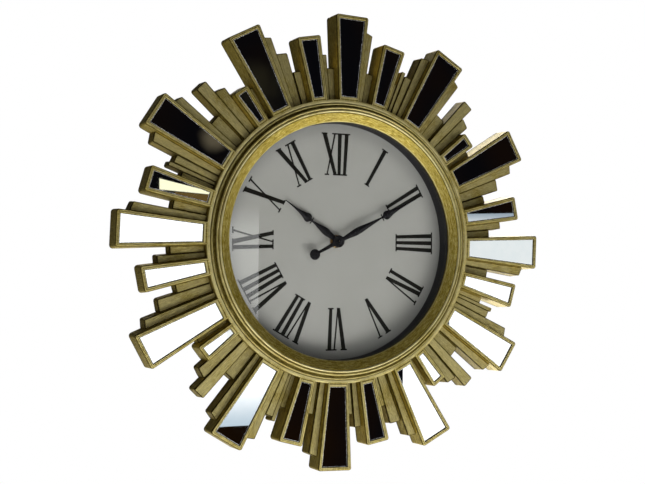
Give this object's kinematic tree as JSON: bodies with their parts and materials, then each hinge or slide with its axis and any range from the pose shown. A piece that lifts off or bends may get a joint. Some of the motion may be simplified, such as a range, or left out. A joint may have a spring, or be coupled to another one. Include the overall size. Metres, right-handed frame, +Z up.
{
  "type": "sunburst wall clock",
  "caption": "Round wall clock with a moulded sunburst frame of radial bars and mirror inlays, stepped bezel, flat glass, Roman numeral dial, two hands and a battery quartz movement.",
  "frame": {"origin": "on the hands' axis, at half the overall depth; this is the centre of the bounding box", "axes": "the dial faces -Y, +X is to the right of the dial seen from the front, +Z is up towards twelve o'clock"},
  "size_m": [0.4826, 0.0508, 0.4826],
  "materials": {
    "antique_gold": "brushed antique gold paint over moulded plastic",
    "mirror_inlay": "polished",
    "clear_glass": "clear, flat",
    "black_plastic": "matt black",
    "dial_face": "matt printed",
    "fibreboard": "raw fibreboard",
    "plated_steel": "zinc plated",
    "movement_plastic": "fine textured",
    "brass_hardware": "turned",
    "hand_black": "satin black",
    "cell_wrap": "glossy wrap with metal ends",
    "copper_wire": "enamelled wire",
    "rotor_magnet": "sintered",
    "board_green": "lacquered",
    "washer_rubber": "soft",
    "white_gear": "moulded"
  },
  "bodies": {
    "clock_case": {"backing_board": "fibreboard", "battery_minus_contact": "plated_steel", "battery_plus_contact": "plated_steel", "bezel_ring": "antique_gold", "brass_washer": "brass_hardware", "case_drum": "black_plastic", "case_screws": "plated_steel", "circuit_board": "board_green", "coil": "copper_wire", "dial_plate": "dial_face", "glass_lens": "clear_glass", "hanger_plate": "plated_steel", "hanger_screws": "plated_steel", "hex_nut": "brass_hardware", "large_mirror_01": "mirror_inlay", "large_mirror_02": "mirror_inlay", "large_mirror_03": "mirror_inlay", "large_mirror_04": "mirror_inlay", "large_mirror_05": "mirror_inlay", "large_mirror_06": "mirror_inlay", "large_mirror_07": "mirror_inlay", "large_mirror_08": "mirror_inlay", "large_mirror_09": "mirror_inlay", "large_mirror_10": "mirror_inlay", "large_mirror_11": "mirror_inlay", "large_mirror_12": "mirror_inlay", "medium_mirror_01": "mirror_inlay", "medium_mirror_02": "mirror_inlay", "medium_mirror_03": "mirror_inlay", "medium_mirror_04": "mirror_inlay", "medium_mirror_05": "mirror_inlay", "medium_mirror_06": "mirror_inlay", "medium_mirror_07": "mirror_inlay", "medium_mirror_08": "mirror_inlay", "movement_front_case": "movement_plastic", "movement_rear_case": "movement_plastic", "quartz_crystal": "plated_steel", "ray_frame": "antique_gold", "rubber_washer": "washer_rubber", "small_mirror_01": "mirror_inlay", "small_mirror_02": "mirror_inlay", "small_mirror_03": "mirror_inlay", "small_mirror_04": "mirror_inlay", "spacer_ring": "black_plastic", "stator_plate": "plated_steel"},
    "minute_hand_body": {"minute_arbor": "brass_hardware", "minute_hand": "hand_black", "cap_nut": "hand_black"},
    "hour_hand_body": {"hour_wheel": "white_gear", "hour_hand": "hand_black"},
    "minute_wheel_body": {"minute_wheel": "white_gear"},
    "setting_knob_body": {"setting_knob": "movement_plastic"},
    "second_wheel_body": {"second_wheel": "white_gear"},
    "third_wheel_body": {"third_wheel": "white_gear"},
    "centre_wheel_body": {"centre_wheel": "white_gear"},
    "intermediate_wheel_body": {"intermediate_wheel": "white_gear"},
    "rotor_body": {"rotor": "rotor_magnet"},
    "battery_body": {"battery": "cell_wrap"}
  },
  "joints": [
    {"name": "minute_hand_turn", "type": "hinge", "parent": "clock_case", "child": "minute_hand_body", "pos_m": [0, 0, 0], "axis": [0, 1, 0], "continuous": true},
    {"name": "hour_hand_turn", "type": "hinge", "parent": "clock_case", "child": "hour_hand_body", "pos_m": [0, 0, 0], "axis": [0, 1, 0], "continuous": true},
    {"name": "minute_wheel_turn", "type": "hinge", "parent": "clock_case", "child": "minute_wheel_body", "pos_m": [0.00929, 0, -0.0024], "axis": [0, 1, 0], "continuous": true},
    {"name": "setting_knob_turn", "type": "hinge", "parent": "clock_case", "child": "setting_knob_body", "pos_m": [0.01799, 0, 0.00059], "axis": [0, 1, 0], "continuous": true},
    {"name": "second_wheel_turn", "type": "hinge", "parent": "clock_case", "child": "second_wheel_body", "pos_m": [0, 0, 0], "axis": [0, 1, 0], "continuous": true},
    {"name": "third_wheel_turn", "type": "hinge", "parent": "clock_case", "child": "third_wheel_body", "pos_m": [0.00613, 0, 0.0098], "axis": [0, 1, 0], "continuous": true},
    {"name": "centre_wheel_turn", "type": "hinge", "parent": "clock_case", "child": "centre_wheel_body", "pos_m": [0, 0, 0], "axis": [0, 1, 0], "continuous": true},
    {"name": "intermediate_wheel_turn", "type": "hinge", "parent": "clock_case", "child": "intermediate_wheel_body", "pos_m": [-0.00707, 0, 0.00707], "axis": [0, 1, 0], "continuous": true},
    {"name": "rotor_turn", "type": "hinge", "parent": "clock_case", "child": "rotor_body", "pos_m": [-0.0138, 0, 0.0138], "axis": [0, 1, 0], "continuous": true},
    {"name": "battery_slide", "type": "slide", "parent": "clock_case", "child": "battery_body", "axis": [0, 1, 0], "range_m": [0, 0.025]}
  ],
  "couplings": [
    {"joint": "minute_wheel_turn", "follows": "minute_hand_turn", "ratio": -0.33333},
    {"joint": "hour_hand_turn", "follows": "minute_hand_turn", "ratio": 0.083333},
    {"joint": "setting_knob_turn", "follows": "minute_hand_turn", "ratio": 1.2},
    {"joint": "third_wheel_turn", "follows": "second_wheel_turn", "ratio": -0.13333},
    {"joint": "centre_wheel_turn", "follows": "second_wheel_turn", "ratio": 0.016667},
    {"joint": "intermediate_wheel_turn", "follows": "second_wheel_turn", "ratio": -4},
    {"joint": "rotor_turn", "follows": "second_wheel_turn", "ratio": 30}
  ]
}
